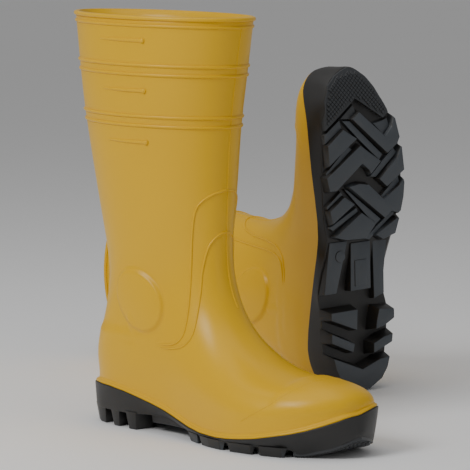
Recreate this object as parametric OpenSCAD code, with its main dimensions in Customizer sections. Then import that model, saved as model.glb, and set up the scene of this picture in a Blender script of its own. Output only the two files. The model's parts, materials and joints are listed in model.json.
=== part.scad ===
// A pair of PVC wellington-style deck boots: the right one stands, the left one lies on its back.
// Each boot is drawn once in its own frame: x runs from the heel to the toe, +y is the inner side
// of the foot, and z = 0 is the ground. The left boot is the mirror image, turned about its heel.

/* [Overall] */
// Length of the sole, heel to toe
sole_len = 312; // [260:1:345]
// Height of the boot leg above the ground
boot_h = 361; // [300:1:420]
// Width of the upper across the ball of the foot
ball_w = 98; // [82:1:112]
// Width of the upper across the heel
heel_w = 76; // [66:1:88]
// How far the tip of the toe swings to the inner side
toe_swing = 5; // [0:1:12]
// Height of the toe above the ground
toe_h = 62; // [54:1:75]

/* [Leg] */
// Length of the rim from the shin to the calf
rim_len = 190; // [158:1:215]
// Width of the rim
rim_w = 120; // [100:1:140]
// Width of the leg at its narrowest, above the ankle
ankle_w = 78; // [68:1:92]

/* [Walls] */
// Thickness of the PVC upper
upper_t = 3; // [2:0.1:4]
// Thickness of the knitted lining
lining_t = 2; // [1:0.1:3]
// Thickness of the steel toe cap
cap_t = 2; // [1.5:0.1:3]
// Thickness of the steel plate in the sole
plate_t = 1; // [0.8:0.1:1.5]
// Thickness of the insole board on the plate
board_t = 1.5; // [1:0.1:2.5]
// Thickness of the foam pad behind each ankle bulge
pad_t = 3; // [2:0.1:4]
// Thickness of the loose footbed
footbed_t = 4; // [3:0.1:6]
// Gap between the loose footbed and the lining
footbed_gap = 0.5; // [0.4:0.1:1]

/* [Sole] */
// Height of the black heel at its back
heel_h = 33; // [26:1:40]
// How far the sole stands out past the upper
welt = 4; // [2:0.5:6]
// Depth of the forefoot lugs
lug_h = 7; // [4:0.5:9]
// Depth of the heel lugs
heel_lug_h = 14; // [8:0.5:16]
// Length of the heel from its back to its breast face
heel_len = 78; // [64:1:94]
// Width of the channel between the two columns of heel lugs
channel_w = 22; // [16:1:26]
// How far the channel lies to the outer side
channel_y = 6; // [0:1:10]
// How far the tread stands in from the edge of the sole
tread_in = 3; // [0:0.5:4]

/* [Placing] */
// Distance from the right heel to the left heel, sideways
left_y = 258; // [240:1:300]
// Distance from the right heel to the left heel, forwards
left_x = 72; // [40:1:110]
// How far the left boot is turned towards the right one, seen from above
left_yaw = 9.5; // [0:0.5:15]
// How far the left boot has turned back from standing
lie_turn = 87.6; // [86:0.1:87.6]

/* [Hidden] */
// Size of the last that the station table was drawn for
last_len = 312;
last_h = 361;
last_heel_h = 33;
ankle_z = 130;
last_ball_w = 98;
last_heel_w = 76;
last_toe_h = 62;
last_rim_len = 190;
last_rim_w = 120;
last_ankle_w = 78;
// On that last, the heel's height and width hold up to here along the foot, and the ball's from here
shank_x = 176;
heel_x = 56;
ball_x = [149, 214];
// The leg's length fades in over these heights of a ring's back point, and its width over these
leg_fade = [60, 361];
leg_w_fade = [98, 361];
foot_top = [33, 98];
// Rings between two stations, and points round a ring outside and inside
ring_sub = 2;
n_out = 40;
n_in = 20;
// The heel's back lies this far behind the origin, which is on the rear heel lug
setback = 12;
// The axis that the left boot turns about: level across its heel, tilted a little because it lies
// rolled towards the right boot
left_axis = [-0.031, 1, 0.03];

// Stations of the upper from the toe to the rim. A ring joins a point on the top or front of the
// boot to a point on its bottom or back, and the widths are half the ring's width:
// [front x, front z, back x, back z, outer width, inner width, where the ring is widest,
//  front roundness, back roundness]
stations = [
  [306,  43, 306,  43,  0,  0, 0.55, 2.0, 2.0],
  [304,  50, 304,  36, 14, 14, 0.55, 2.0, 2.1],
  [297,  55, 297,  29, 25, 25, 0.55, 2.1, 2.3],
  [284,  59, 284,  22, 36, 35, 0.58, 2.1, 2.6],
  [265,  62, 265,  15, 46, 41, 0.60, 2.1, 3.0],
  [240,  65, 240,  11, 52, 44, 0.62, 2.0, 3.4],
  [214,  71, 210,   9, 54, 44, 0.62, 2.0, 3.6],
  [189,  83, 176,   9, 50, 41, 0.62, 2.0, 3.6],
  [169, 100, 140,  13, 44, 37, 0.62, 2.0, 3.4],
  [156, 120, 100,  20, 39, 36, 0.62, 2.1, 3.2],
  [150, 140,  55,  26, 38, 36, 0.60, 2.2, 3.0],
  [148, 160,  11,  31, 38, 37, 0.56, 2.2, 2.8],
  [148, 180,   1,  59, 38, 38, 0.52, 2.2, 2.5],
  [149, 197,  12,  98, 40, 40, 0.50, 2.1, 2.3],
  [149, 214,  17, 135, 43, 43, 0.50, 2.1, 2.2],
  [150, 236,   8, 178, 47, 47, 0.50, 2.1, 2.1],
  [153, 271,  -3, 225, 52, 52, 0.50, 2.0, 2.0],
  [159, 313, -14, 285, 57, 57, 0.50, 2.0, 2.0],
  [167, 361, -23, 361, 60, 60, 0.50, 2.0, 2.0],
];

// Top edge of the black sole along the foot: [distance from the heel, height]
sole_edge = [
  [-10, 34], [20, 36], [40, 35.5], [60, 33], [77, 30], [95, 26.5], [113, 22.5], [132, 18],
  [150, 14.5], [168, 12.5], [190, 12], [207, 13], [221, 14.5], [237, 17], [252, 19.5],
  [267, 22], [279, 25], [290, 28.5], [298, 32], [305, 36], [312, 40], [322, 43],
];
// Underside of the toe bumper, which curls up to the tip
toe_spring = [[236, 0], [262, 0], [276, 1], [287, 4], [296, 7], [303, 10.5], [309, 15], [313, 20],
  [322, 30]];
// The toe pad ends in a chevron: [distance from the heel, distance to the inner side]
toe_chevron = [[240, 60], [280, 0], [252, -40], [252, -60]];
// Forefoot lugs: [distance from the heel, distance to the inner side, turn, length, width]
fore_lugs = [
  [250, -11, 55, 52, 13], [227, -17, 55, 32, 9], [187, -14, 54, 58, 16],
  [238, 24, -53, 38, 14], [217, 17, -53, 58, 14], [198, 24, -53, 36, 8], [179, 24, -53, 34, 13],
  [160, 17, -56, 44, 10], [209, -38, -53, 34, 13], [188, -43, -53, 30, 11], [168, -33, -53, 46, 9],
  [150, -30, -56, 38, 9],
];
// Heel lugs on each side: [start, end] along the foot
heel_blocks = [[38, 54], [60, heel_len]];
// The rear heel lug reaches forward to here at its sides, and to here in its middle
rear_lug = [33, 20];

// Rings that the toe cap, the sole plate, the board, the footbed and the ankle pads cover
cap_rows = [0, 8];
cap_cols = [-6, 6];
plate_rows = [3, 22];
plate_cols = [7, 13];
bed_rows = [5, 21];
bed_cols = [7, 13];
pad_rows = [20, 24];
pad_cols_inner = [4, 6];
pad_cols_outer = [14, 16];

// Blending helpers
function mix(a, b, t) = a + (b - a) * t;
// How far v has come from a to b, from 0 to 1
function ramp(v, a, b) = max(0, min(1, (v - a) / (b - a)));
function curve(a, b, c, d, u) =
  (2 * pow(u, 3) - 3 * pow(u, 2) + 1) * b + (pow(u, 3) - 2 * pow(u, 2) + u) * (c - a) / 2
  + (3 * pow(u, 2) - 2 * pow(u, 3)) * c + (pow(u, 3) - pow(u, 2)) * (d - b) / 2;
// Rows of numbers with n - 1 smooth rows added between each two
function smooth(rows, n) = let (k = len(rows) - 1) [
  for (i = [0:k - 1], s = [0:n - 1])
    curve(i == 0 ? 2 * rows[0] - rows[1] : rows[i - 1], rows[i], rows[i + 1],
          i == k - 1 ? 2 * rows[k] - rows[k - 1] : rows[i + 2], s / n),
  rows[k],
];

// A station moved from the last that the table was drawn for to the sizes above
k_len = sole_len / last_len;
function leg_z(z) = z < ankle_z ? z : ankle_z + (z - ankle_z) * (boot_h - ankle_z) / (last_h - ankle_z);
function fitted(s) = let (
    on_leg = ramp(s[3], leg_fade[0], leg_fade[1]),
    on_ball = ramp(s[0], ball_x[0], ball_x[1]),
    mid = k_len * (s[0] + s[2]) / 2,
    half = (s[0] - s[2]) / 2 * mix(k_len, rim_len / last_rim_len, on_leg),
    lift = (heel_h - last_heel_h) * ramp(s[2], shank_x, heel_x) * ramp(s[3], leg_fade[0], last_heel_h),
    toe_k = mix(1, toe_h / last_toe_h, on_ball),
    foot_k = mix(heel_w / last_heel_w, ball_w / last_ball_w, on_ball),
    leg_k = mix(ankle_w / last_ankle_w, rim_w / last_rim_w, ramp(s[3], leg_w_fade[0], leg_w_fade[1])),
    wide_k = mix(foot_k, leg_k, ramp(s[3], foot_top[0], foot_top[1]))
  ) [mid + half, leg_z(s[3] + (s[1] - s[3]) * toe_k), mid - half, leg_z(s[3]) + lift,
     s[4] * wide_k, s[5] * wide_k, s[6], s[7], s[8]];
rings = smooth([for (s = stations) fitted(s)], ring_sub);
last_ring = len(rings) - 1;

// The toe swings inwards between these distances from the heel
toe_bend = [225, 306];
// How far the middle of a ring lies to the inner side
function swing(r) = toe_swing * pow(ramp(r[0], toe_bend[0] * k_len, toe_bend[1] * k_len), 2);
// A point of a ring, at an angle from its front or top towards the inner side
function on_ring(r, a) = let (
    front = [r[0], swing(r), r[1]],
    back = [r[2], swing(r), r[3]],
    mid = mix(front, back, r[6]),
    c = cos(a),
    s = sin(a),
    n = c >= 0 ? r[7] : r[8],
    wide = s >= 0 ? r[5] : r[4]
  ) mid + ((c >= 0 ? front : back) - mid) * pow(abs(c), 2 / n)
    + [0, sign(s) * pow(abs(s), 2 / n) * wide, 0];
function grid(n) = [for (r = rings) [for (j = [0:n - 1]) on_ring(r, 360 * j / n)]];
function unit(v) = v / norm(v);
// Directions straight out of the surface at each grid point
function outward(g) = let (n = len(g[0])) [
  for (i = [0:last_ring]) [
    for (j = [0:n - 1])
      i == 0 ? [1, 0, 0] : let (
        along = g[min(i + 1, last_ring)][j] - g[i - 1][j],
        round = g[i][(j + 1) % n] - g[i][(j + n - 1) % n],
        v = cross(round, along)
      ) unit(i == last_ring ? [v[0], v[1], 0] : v)
  ]
];
coarse = grid(n_in);
coarse_n = outward(coarse);
fine = grid(n_out);
fine_n = outward(fine);

// Height of the ankle bulge, at a ring and a column of the coarse grid
function bump(i, j, cols) = i <= pad_rows[0] || i >= pad_rows[1] || j <= cols[0] || j >= cols[1] ? 0
  : pad_t * pow(sin(180 * (i - pad_rows[0]) / (pad_rows[1] - pad_rows[0])), 0.5)
    * pow(sin(180 * (j - cols[0]) / (cols[1] - cols[0])), 0.5);
function bulge(i, j) = bump(i, j, pad_cols_inner) + bump(i, j, pad_cols_outer);
function within(v, range) = v >= range[0] && v <= range[1];
function in_cap(i, j) = within(i, cap_rows) && (j <= cap_cols[1] || j >= n_in + cap_cols[0]);
function in_plate(i, j) = within(i, plate_rows) && within(j, plate_cols);
// Depth of the lining's outer face below the upper's outer face
function lining_depth(i, j) =
  upper_t + (in_cap(i, j) ? cap_t : 0) + (in_plate(i, j) ? plate_t + board_t : 0);
// The coarse grid sunk by a depth, which is a function of ring and column
function sunk(depth) = [for (i = [0:last_ring]) [
  for (j = [0:n_in - 1]) coarse[i][j] - depth(i, j) * coarse_n[i][j]]];
function all_but_pole(g) = [for (i = [1:last_ring]) each g[i]];

// Two triangles that fill the cell a, b, c, d, or one where two corners are the same point
function cell(a, b, c, d, other = false) = [
  for (t = other ? [[a, d, b], [b, d, c]] : [[a, c, b], [a, d, c]])
    if (t[0] != t[1] && t[1] != t[2] && t[2] != t[0]) t
];
// Which way a cell of the coarse grid is cut, so that each ankle pad's corners are filled
function other_cut(i, j) = let (c = j < n_in / 2 ? pad_cols_inner : pad_cols_outer)
  (i >= (pad_rows[0] + pad_rows[1]) / 2) != (j >= (c[0] + c[1]) / 2);
function flipped(faces) = [for (f = faces) [f[0], f[2], f[1]]];
// Index of a point where ring 0 is a single point
function at(base, n, i, j) = i == 0 ? base : base + 1 + (i - 1) * n + j % n;
function skin(base, n) = [
  for (i = [0:last_ring - 1], j = [0:n - 1])
    each cell(at(base, n, i, j), at(base, n, i, j + 1), at(base, n, i + 1, j + 1),
              at(base, n, i + 1, j), n == n_in && i > 0 && other_cut(i, j))
];

// A closed sock between two grids that are joined round the rim
module sock(outer, inner) {
  na = len(outer[0]);
  nb = len(inner[0]);
  step = na / nb;
  base = 1 + last_ring * na;
  rim = [
    for (j = [0:nb - 1]) each concat(
      [for (s = [0:step - 1]) [at(0, na, last_ring, j * step + s), at(base, nb, last_ring, j),
                               at(0, na, last_ring, j * step + s + 1)]],
      [[at(0, na, last_ring, (j + 1) * step), at(base, nb, last_ring, j),
        at(base, nb, last_ring, j + 1)]])
  ];
  polyhedron(
    points = concat([outer[0][0]], all_but_pole(outer), [inner[0][0]], all_but_pole(inner)),
    faces = concat(skin(0, na), flipped(skin(base, nb)), rim));
}

// A closed plate between two depths over some rows and columns of the coarse grid. The edge points
// for which shared() is true are the same on both faces, so the plate runs out to nothing there.
module plate(rows, cols, outer, inner, shared = function(i, j) false) {
  w = cols[1] - cols[0] + 1;
  pole = rows[0] == 0;
  base = (rows[1] - rows[0] + (pole ? 0 : 1)) * w + (pole ? 1 : 0);
  function id(i, j) = pole ? (i == 0 ? 0 : 1 + (i - 1) * w + j - cols[0])
    : (i - rows[0]) * w + j - cols[0];
  function id_in(i, j) = shared(i, j) ? id(i, j) : base + id(i, j);
  function col(j) = (j + n_in) % n_in;
  points = [
    for (g = [outer, inner]) each concat(
      pole ? [g[0][0]] : [],
      [for (i = [max(rows[0], 1):rows[1]], j = [cols[0]:cols[1]]) g[i][col(j)]])
  ];
  faces = concat(
    [for (i = [rows[0]:rows[1] - 1], j = [cols[0]:cols[1] - 1]) each cell(
      id(i, j), id(i, j + 1), id(i + 1, j + 1), id(i + 1, j), i > 0 && other_cut(i, col(j)))],
    flipped([for (i = [rows[0]:rows[1] - 1], j = [cols[0]:cols[1] - 1]) each cell(
      id_in(i, j), id_in(i, j + 1), id_in(i + 1, j + 1), id_in(i + 1, j),
      i > 0 && other_cut(i, col(j)))]),
    [for (i = [rows[0]:rows[1] - 1]) each concat(
      cell(id(i + 1, cols[1]), id(i, cols[1]), id_in(i, cols[1]), id_in(i + 1, cols[1])),
      cell(id(i, cols[0]), id(i + 1, cols[0]), id_in(i + 1, cols[0]), id_in(i, cols[0])))],
    [for (j = [cols[0]:cols[1] - 1]) each concat(
      pole ? [] : cell(id(rows[0], j + 1), id(rows[0], j), id_in(rows[0], j), id_in(rows[0], j + 1)),
      cell(id(rows[1], j), id(rows[1], j + 1), id_in(rows[1], j + 1), id_in(rows[1], j)))]);
  polyhedron(points = points, faces = faces);
}

// ---- The pieces of one boot, in its own frame

module boot_upper() color("gold") sock(
  [for (i = [0:last_ring]) [for (j = [0:n_out - 1])
    fine[i][j] + bulge(i, j * n_in / n_out) * fine_n[i][j]]],
  sunk(function(i, j) upper_t - bulge(i, j)));

module boot_lining() color("gainsboro") sock(
  sunk(function(i, j) lining_depth(i, j)),
  sunk(function(i, j) lining_depth(i, j) + lining_t));

module boot_toe_cap() color("silver") plate(
  cap_rows, cap_cols, sunk(function(i, j) upper_t), sunk(function(i, j) upper_t + cap_t));

module boot_toe_cap_edge() color("dimgray") plate(
  [cap_rows[1], cap_rows[1] + 1], cap_cols, sunk(function(i, j) upper_t),
  sunk(function(i, j) upper_t + cap_t), function(i, j) i > cap_rows[1]);

module boot_sole_plate() color("lightsteelblue") plate(
  plate_rows, plate_cols, sunk(function(i, j) upper_t), sunk(function(i, j) upper_t + plate_t));

module boot_insole_board() color("tan") plate(
  plate_rows, plate_cols, sunk(function(i, j) upper_t + plate_t),
  sunk(function(i, j) upper_t + plate_t + board_t));

module boot_ankle_pad(cols) color("khaki") plate(
  pad_rows, cols, sunk(function(i, j) upper_t - bulge(i, j)), sunk(function(i, j) upper_t),
  function(i, j) i == pad_rows[0] || i == pad_rows[1] || j == cols[0] || j == cols[1]);

bed_depth = upper_t + plate_t + board_t + lining_t + footbed_gap;
module boot_footbed() color("slategray") plate(
  bed_rows, bed_cols, sunk(function(i, j) bed_depth), sunk(function(i, j) bed_depth + footbed_t));

// Outline of the upper on the ground, from the outer toe round the heel to the inner toe: the
// widest points of the rings up to the heel, and an arc round the heel
heel_ring = 22;
back_ring = 24;
plan_rings = [for (i = [1:heel_ring - 2]) rings[i]];
function widest_x(r) = mix(r[0], r[2], r[6]);
heel_r = rings[heel_ring][4];
heel_back = rings[back_ring][2];
foot_plan = concat(
  [for (r = plan_rings) [widest_x(r), swing(r) - r[4]]],
  [for (a = [260:-10:100]) [heel_back + heel_r * (1 + cos(a)), heel_r * sin(a)]],
  [for (i = [len(plan_rings) - 1:-1:0]) let (r = plan_rings[i]) [widest_x(r), swing(r) + r[5]]]);

// The sole's side view, drawn along the foot and pushed out to both sides
module side_view(points) rotate([90, 0, 0]) linear_extrude(2 * sole_len, center = true) polygon(points);
function along(points) = [for (p = smooth(points, 3)) [p[0] * k_len, p[1]]];
function heeled(points) = [for (p = points)
  [p[0], p[1] + (heel_h - last_heel_h) * ramp(p[0], shank_x * k_len, heel_x * k_len)]];
edge_line = heeled(along(sole_edge));
spring_line = along(toe_spring);
pad_end = toe_spring[1][0] * k_len;
// The forefoot tread starts here and its base rises over the next few millimetres. The toe pad runs
// this far up into the sole, and the slope of its top ends this far past the toe
fore_start = 142 * k_len;
base_run = 8;
base_rise = 2;
sunk_in = 4;
toe_reach = 20;
// The heel's and the lugs' sides slope in by this much down to the ground
heel_slope = 1;
lug_slope = 1.5;
skin_h = 0.5;

// Outline of the sole, pushed out past the upper
module sole_plan(out) offset(r = out) polygon(foot_plan);

module sole_block() intersection() {
  linear_extrude(2 * heel_h + toe_h) sole_plan(welt);
  side_view(concat(
    [for (i = [len(edge_line) - 1:-1:0]) edge_line[i]],
    [[sole_edge[0][0], heel_lug_h], [heel_len - sunk_in, heel_lug_h],
     [fore_start, lug_h + base_rise], [fore_start + base_run, lug_h], [pad_end, lug_h]],
    [for (p = spring_line) if (p[0] > pad_end) [p[0], p[1] + lug_h]]));
}

// The solid toe pad in front of the forefoot lugs
module toe_pad() intersection() {
  linear_extrude(toe_h) sole_plan(welt);
  linear_extrude(toe_h) polygon(concat(
    [for (p = toe_chevron) [p[0] * k_len, p[1]]], [[2 * sole_len, -ball_w], [2 * sole_len, ball_w]]));
  side_view(concat([[sole_len + toe_reach, heel_h], [toe_spring[0][0] * k_len, lug_h + sunk_in]], spring_line));
}

module lug(x, y, turn, length, width, height) translate([x * k_len, y, 0]) rotate(turn) hull() {
  linear_extrude(skin_h) square([length - 2 * lug_slope, width - 2 * lug_slope], center = true);
  translate([0, 0, height]) linear_extrude(skin_h) square([length, width], center = true);
}

// One block of the heel tread, from start to end along the foot and from one side to the other
module heel_block(start, end, low, high) hull() {
  translate([start + heel_slope, low, 0]) cube([end - start - 2 * heel_slope, high - low, skin_h]);
  translate([start, low, heel_lug_h]) cube([end - start, high - low, skin_h]);
}

// Everything under the sole that stands on the ground
module tread() intersection() {
  linear_extrude(heel_h) sole_plan(welt - tread_in);
  union() {
    for (l = fore_lugs) lug(l[0], l[1], l[2], l[3], l[4], lug_h);
    for (b = heel_blocks) {
      heel_block(b[0], b[1], channel_w / 2 - channel_y, heel_w);
      heel_block(b[0], b[1], -heel_w, -channel_w / 2 - channel_y);
    }
    linear_extrude(heel_lug_h + skin_h) polygon([
      [-welt, -heel_w], [rear_lug[0], -heel_w], [rear_lug[0], -channel_w - channel_y],
      [rear_lug[1], -channel_y], [rear_lug[0], channel_w - channel_y], [rear_lug[0], heel_w],
      [-welt, heel_w]]);
  }
}

// Pocket in the heel for the light core, open to the upper
core_wall = 12;
core_floor = 2;
core_r = 8;
core_size = [heel_len - 2 * core_wall, heel_w - 2 * core_wall];
module core_shape() translate([core_wall + welt, -core_size[1] / 2, heel_lug_h + core_floor])
  linear_extrude(heel_h) offset(r = core_r) offset(delta = -core_r) square(core_size);

module boot_solid() polyhedron(
  points = concat([fine[0][0]], all_but_pole(fine), [mix(fine[last_ring][0],
    fine[last_ring][n_out / 2], 0.5)]),
  faces = concat(skin(0, n_out), [for (j = [0:n_out - 1]) [at(0, n_out, last_ring, j + 1),
    at(0, n_out, last_ring, j), 1 + last_ring * n_out]]));

module boot_outsole() color([0.13, 0.14, 0.16]) difference() {
  union() {
    sole_block();
    toe_pad();
    tread();
  }
  boot_solid();
  core_shape();
}

// The core fills its pocket up to the upper
module boot_heel_core() color("burlywood") difference() {
  core_shape();
  boot_solid();
}

// ---- The pair

module right_side() translate([-setback, 0, 0]) children();
module left_side() translate([left_x - setback, left_y, 0]) rotate(-left_yaw)
  rotate(a = -lie_turn, v = left_axis) mirror([0, 1, 0]) children();

module right_upper() right_side() boot_upper();
module right_lining() right_side() boot_lining();
module right_toe_cap() right_side() boot_toe_cap();
module right_toe_cap_edge() right_side() boot_toe_cap_edge();
module right_sole_plate() right_side() boot_sole_plate();
module right_insole_board() right_side() boot_insole_board();
module right_ankle_pad_inner() right_side() boot_ankle_pad(pad_cols_inner);
module right_ankle_pad_outer() right_side() boot_ankle_pad(pad_cols_outer);
module right_footbed() right_side() boot_footbed();
module right_heel_core() right_side() boot_heel_core();
module right_outsole() right_side() boot_outsole();
module left_upper() left_side() boot_upper();
module left_lining() left_side() boot_lining();
module left_toe_cap() left_side() boot_toe_cap();
module left_toe_cap_edge() left_side() boot_toe_cap_edge();
module left_sole_plate() left_side() boot_sole_plate();
module left_insole_board() left_side() boot_insole_board();
module left_ankle_pad_inner() left_side() boot_ankle_pad(pad_cols_inner);
module left_ankle_pad_outer() left_side() boot_ankle_pad(pad_cols_outer);
module left_footbed() left_side() boot_footbed();
module left_heel_core() left_side() boot_heel_core();
module left_outsole() left_side() boot_outsole();

right_upper();
right_lining();
right_toe_cap();
right_toe_cap_edge();
right_sole_plate();
right_insole_board();
right_ankle_pad_inner();
right_ankle_pad_outer();
right_footbed();
right_heel_core();
right_outsole();
left_upper();
left_lining();
left_toe_cap();
left_toe_cap_edge();
left_sole_plate();
left_insole_board();
left_ankle_pad_inner();
left_ankle_pad_outer();
left_footbed();
left_heel_core();
left_outsole();
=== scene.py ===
# %% [markdown]
# # A pair of moulded deck boots
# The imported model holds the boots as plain, correct solids: upper, lining, steel cap, plates, footbed
# and sole. This notebook builds what the eye sees round those solids. Each piece is made once, for
# the right boot, and then mirrored and laid down for the left one, as the two moulds are mirror
# images of each other. Lengths are in metres, and numbers times mm are easy to check on a boot.

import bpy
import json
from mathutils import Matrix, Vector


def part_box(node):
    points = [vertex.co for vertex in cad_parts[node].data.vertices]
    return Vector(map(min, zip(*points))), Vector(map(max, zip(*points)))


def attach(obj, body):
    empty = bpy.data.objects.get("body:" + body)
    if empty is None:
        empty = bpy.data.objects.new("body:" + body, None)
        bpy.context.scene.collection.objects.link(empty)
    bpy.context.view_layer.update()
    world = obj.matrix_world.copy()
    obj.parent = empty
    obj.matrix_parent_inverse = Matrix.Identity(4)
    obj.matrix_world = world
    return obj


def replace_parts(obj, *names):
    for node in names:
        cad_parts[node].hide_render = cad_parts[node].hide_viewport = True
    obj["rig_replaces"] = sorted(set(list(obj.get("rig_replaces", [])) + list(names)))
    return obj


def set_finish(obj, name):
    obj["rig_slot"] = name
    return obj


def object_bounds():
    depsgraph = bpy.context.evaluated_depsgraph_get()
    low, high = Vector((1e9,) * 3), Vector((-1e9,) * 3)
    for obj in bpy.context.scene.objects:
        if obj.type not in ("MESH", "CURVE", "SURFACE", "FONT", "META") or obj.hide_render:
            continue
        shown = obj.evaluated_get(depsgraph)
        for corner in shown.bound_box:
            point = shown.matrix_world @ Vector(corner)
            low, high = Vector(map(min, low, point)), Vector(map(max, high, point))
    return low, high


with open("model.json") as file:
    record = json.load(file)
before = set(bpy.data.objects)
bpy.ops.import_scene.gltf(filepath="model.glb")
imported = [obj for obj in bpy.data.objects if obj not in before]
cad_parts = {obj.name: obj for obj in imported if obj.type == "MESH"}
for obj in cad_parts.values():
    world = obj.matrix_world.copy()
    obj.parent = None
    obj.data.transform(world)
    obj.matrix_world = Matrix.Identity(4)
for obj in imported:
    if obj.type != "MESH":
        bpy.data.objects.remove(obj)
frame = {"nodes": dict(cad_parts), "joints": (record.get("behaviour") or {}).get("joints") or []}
cad_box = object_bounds()
print("CAD nodes:", len(frame["nodes"]))

# %% Names used all the way through
import json
import math

import bmesh
import bpy
from mathutils import Matrix, Vector
from mathutils.bvhtree import BVHTree

mm = 0.001
scene = bpy.context.scene
sole_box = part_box("right_outsole")
welt = 4 * mm
heel_back = sole_box[0].x + welt
foot_length = sole_box[1].x - welt - heel_back
leg_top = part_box("right_upper")[1].z
print(f"foot {foot_length / mm:.0f} mm long, leg {leg_top / mm:.0f} mm high")

# %% [markdown]
# ## Camera, floor and lights
# The camera stands low and looks at the boots from the front of their outer side, through a long
# lens, so that upright lines stay upright. The frame is shifted a little to the side.
# The floor falls away by a few millimetres behind the boots, as the rim of the lying boot hangs a
# little lower than its heel. A soft key light from the left models the legs, a broad one overhead
# gives the highlights that glossy PVC shows, and a pale world fills the shadows.

# %% Camera
view_azimuth = math.radians(44.8)
view_height = math.radians(5.96)
view_target = Vector((138, 60, 170)) * mm
view_distance = 2378 * mm
back = Vector((
    math.sin(view_azimuth) * math.cos(view_height),
    -math.cos(view_azimuth) * math.cos(view_height),
    math.sin(view_height),
))
camera_data = bpy.data.cameras.new("camera")
camera_data.sensor_width = 36
camera_data.lens = 207.7
camera_data.shift_x = -0.086
camera = bpy.data.objects.new("camera", camera_data)
camera.location = view_target + back * view_distance
camera.rotation_euler = (-back).to_track_quat("-Z", "Y").to_euler()
scene.collection.objects.link(camera)
scene.camera = camera

# %% Floor and lights


def slice_at(bm, place, normal):
    """Cuts every face of a bmesh with a plane and keeps both sides."""
    everything = bm.verts[:] + bm.edges[:] + bm.faces[:]
    bmesh.ops.bisect_plane(bm, geom=everything, plane_co=place, plane_no=normal)


floor_mesh = bpy.data.meshes.new("floor")
bm = bmesh.new()
bmesh.ops.create_grid(bm, x_segments=1, y_segments=1, size=60)
slope_start, slope_end = -20 * mm, -280 * mm
slice_at(bm, (slope_start, 0, 0), (1, 0, 0))
slice_at(bm, (slope_end, 0, 0), (1, 0, 0))
for v in bm.verts:
    if v.co.x < (slope_start + slope_end) / 2:
        v.co.z = cad_box[0].z - 1 * mm
bm.to_mesh(floor_mesh)
bm.free()
floor = bpy.data.objects.new("floor", floor_mesh)
scene.collection.objects.link(floor)

side = Vector((math.cos(view_azimuth), math.sin(view_azimuth), 0))
up = Vector((0, 0, 1))


def softbox(name, place, width, height, power):
    """A rectangular light that looks at the middle of the boots."""
    data = bpy.data.lights.new(name, "AREA")
    data.shape = "RECTANGLE"
    data.size = width
    data.size_y = height
    data.energy = power
    lamp = bpy.data.objects.new(name, data)
    lamp.location = place
    lamp.rotation_euler = (place - view_target).to_track_quat("Z", "Y").to_euler()
    scene.collection.objects.link(lamp)


softbox("key_light", view_target + back * 1.15 - side * 1.25 + up * 1.15, 0.8, 0.8, 21)
softbox("top_light", view_target + back * 0.1 - side * 0.3 + up * 1.9, 2.2, 1.6, 11)
softbox("fill_light", view_target + back * 1.2 + side * 1.6 + up * 0.3, 1.0, 1.4, 2)
world = bpy.data.worlds.new("world")
world.use_nodes = True
backdrop = world.node_tree.nodes["Background"]
backdrop.inputs["Color"].default_value = (1, 1, 1, 1)
backdrop.inputs["Strength"].default_value = 0.32
scene.world = world

# %% [markdown]
# ## Small helpers
# A node's mesh arrives as loose triangles. A copy is merged, its triangles are joined back into the
# four-sided faces that a subdivision surface likes, and it is smoothed. `tube` sweeps a round bead
# along a row of points with a curve, which is the quickest way to a clean raised line.

# %% Mesh helpers


def boot(x, y, z):
    """A place given in millimetres from the back of the heel, the middle line and the ground."""
    return Vector((x * mm + heel_back, y * mm, z * mm))


def merged_copy(node):
    """A copy of a node's mesh with its points merged and its triangles joined into quads."""
    bm = bmesh.new()
    bm.from_mesh(frame["nodes"][node].data)
    bmesh.ops.remove_doubles(bm, verts=bm.verts, dist=0.01 * mm)
    bmesh.ops.join_triangles(
        bm, faces=bm.faces, angle_face_threshold=math.radians(50),
        angle_shape_threshold=math.radians(60))
    return bm


def piece(name, bm, material, slot, body):
    """Turns a bmesh into a smooth-shaded object that rides on a body."""
    mesh = bpy.data.meshes.new(name)
    for face in bm.faces:
        face.smooth = True
    bm.to_mesh(mesh)
    bm.free()
    mesh.materials.append(material)
    obj = bpy.data.objects.new(name, mesh)
    scene.collection.objects.link(obj)
    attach(obj, body)
    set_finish(obj, slot)
    print(f"{name}: {len(mesh.polygons)} faces")
    return obj


def baked(bm, *modifiers):
    """The bmesh after some modifiers, each given as (type, {setting: value})."""
    mesh = bpy.data.meshes.new("work")
    bm.to_mesh(mesh)
    bm.free()
    obj = bpy.data.objects.new("work", mesh)
    scene.collection.objects.link(obj)
    for kind, settings in modifiers:
        modifier = obj.modifiers.new(kind, kind)
        for setting, value in settings.items():
            setattr(modifier, setting, value)
    done = obj.evaluated_get(bpy.context.evaluated_depsgraph_get()).to_mesh()
    result = bmesh.new()
    result.from_mesh(done)
    bpy.data.objects.remove(obj)
    bpy.data.meshes.remove(mesh)
    return result


def smoothed(levels):
    """The settings of a subdivision surface."""
    return ("SUBSURF", {"levels": levels, "render_levels": levels})


def add_tube(bm, points, radii, closed=False):
    """Adds a round bead along the points. radii is one radius or one for each point."""
    if not isinstance(radii, (list, tuple)):
        radii = [radii] * len(points)
    curve = bpy.data.curves.new("bead", "CURVE")
    curve.dimensions = "3D"
    curve.bevel_depth = mm
    curve.bevel_resolution = 2
    curve.use_fill_caps = True
    spline = curve.splines.new("POLY")
    spline.points.add(len(points) - 1)
    spline.use_cyclic_u = closed
    for dot, place, radius in zip(spline.points, points, radii):
        dot.co = (*place, 1)
        dot.radius = radius / mm
    obj = bpy.data.objects.new("bead", curve)
    scene.collection.objects.link(obj)
    done = obj.evaluated_get(bpy.context.evaluated_depsgraph_get()).to_mesh()
    bm.from_mesh(done)
    bpy.data.objects.remove(obj)
    bpy.data.curves.remove(curve)


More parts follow.
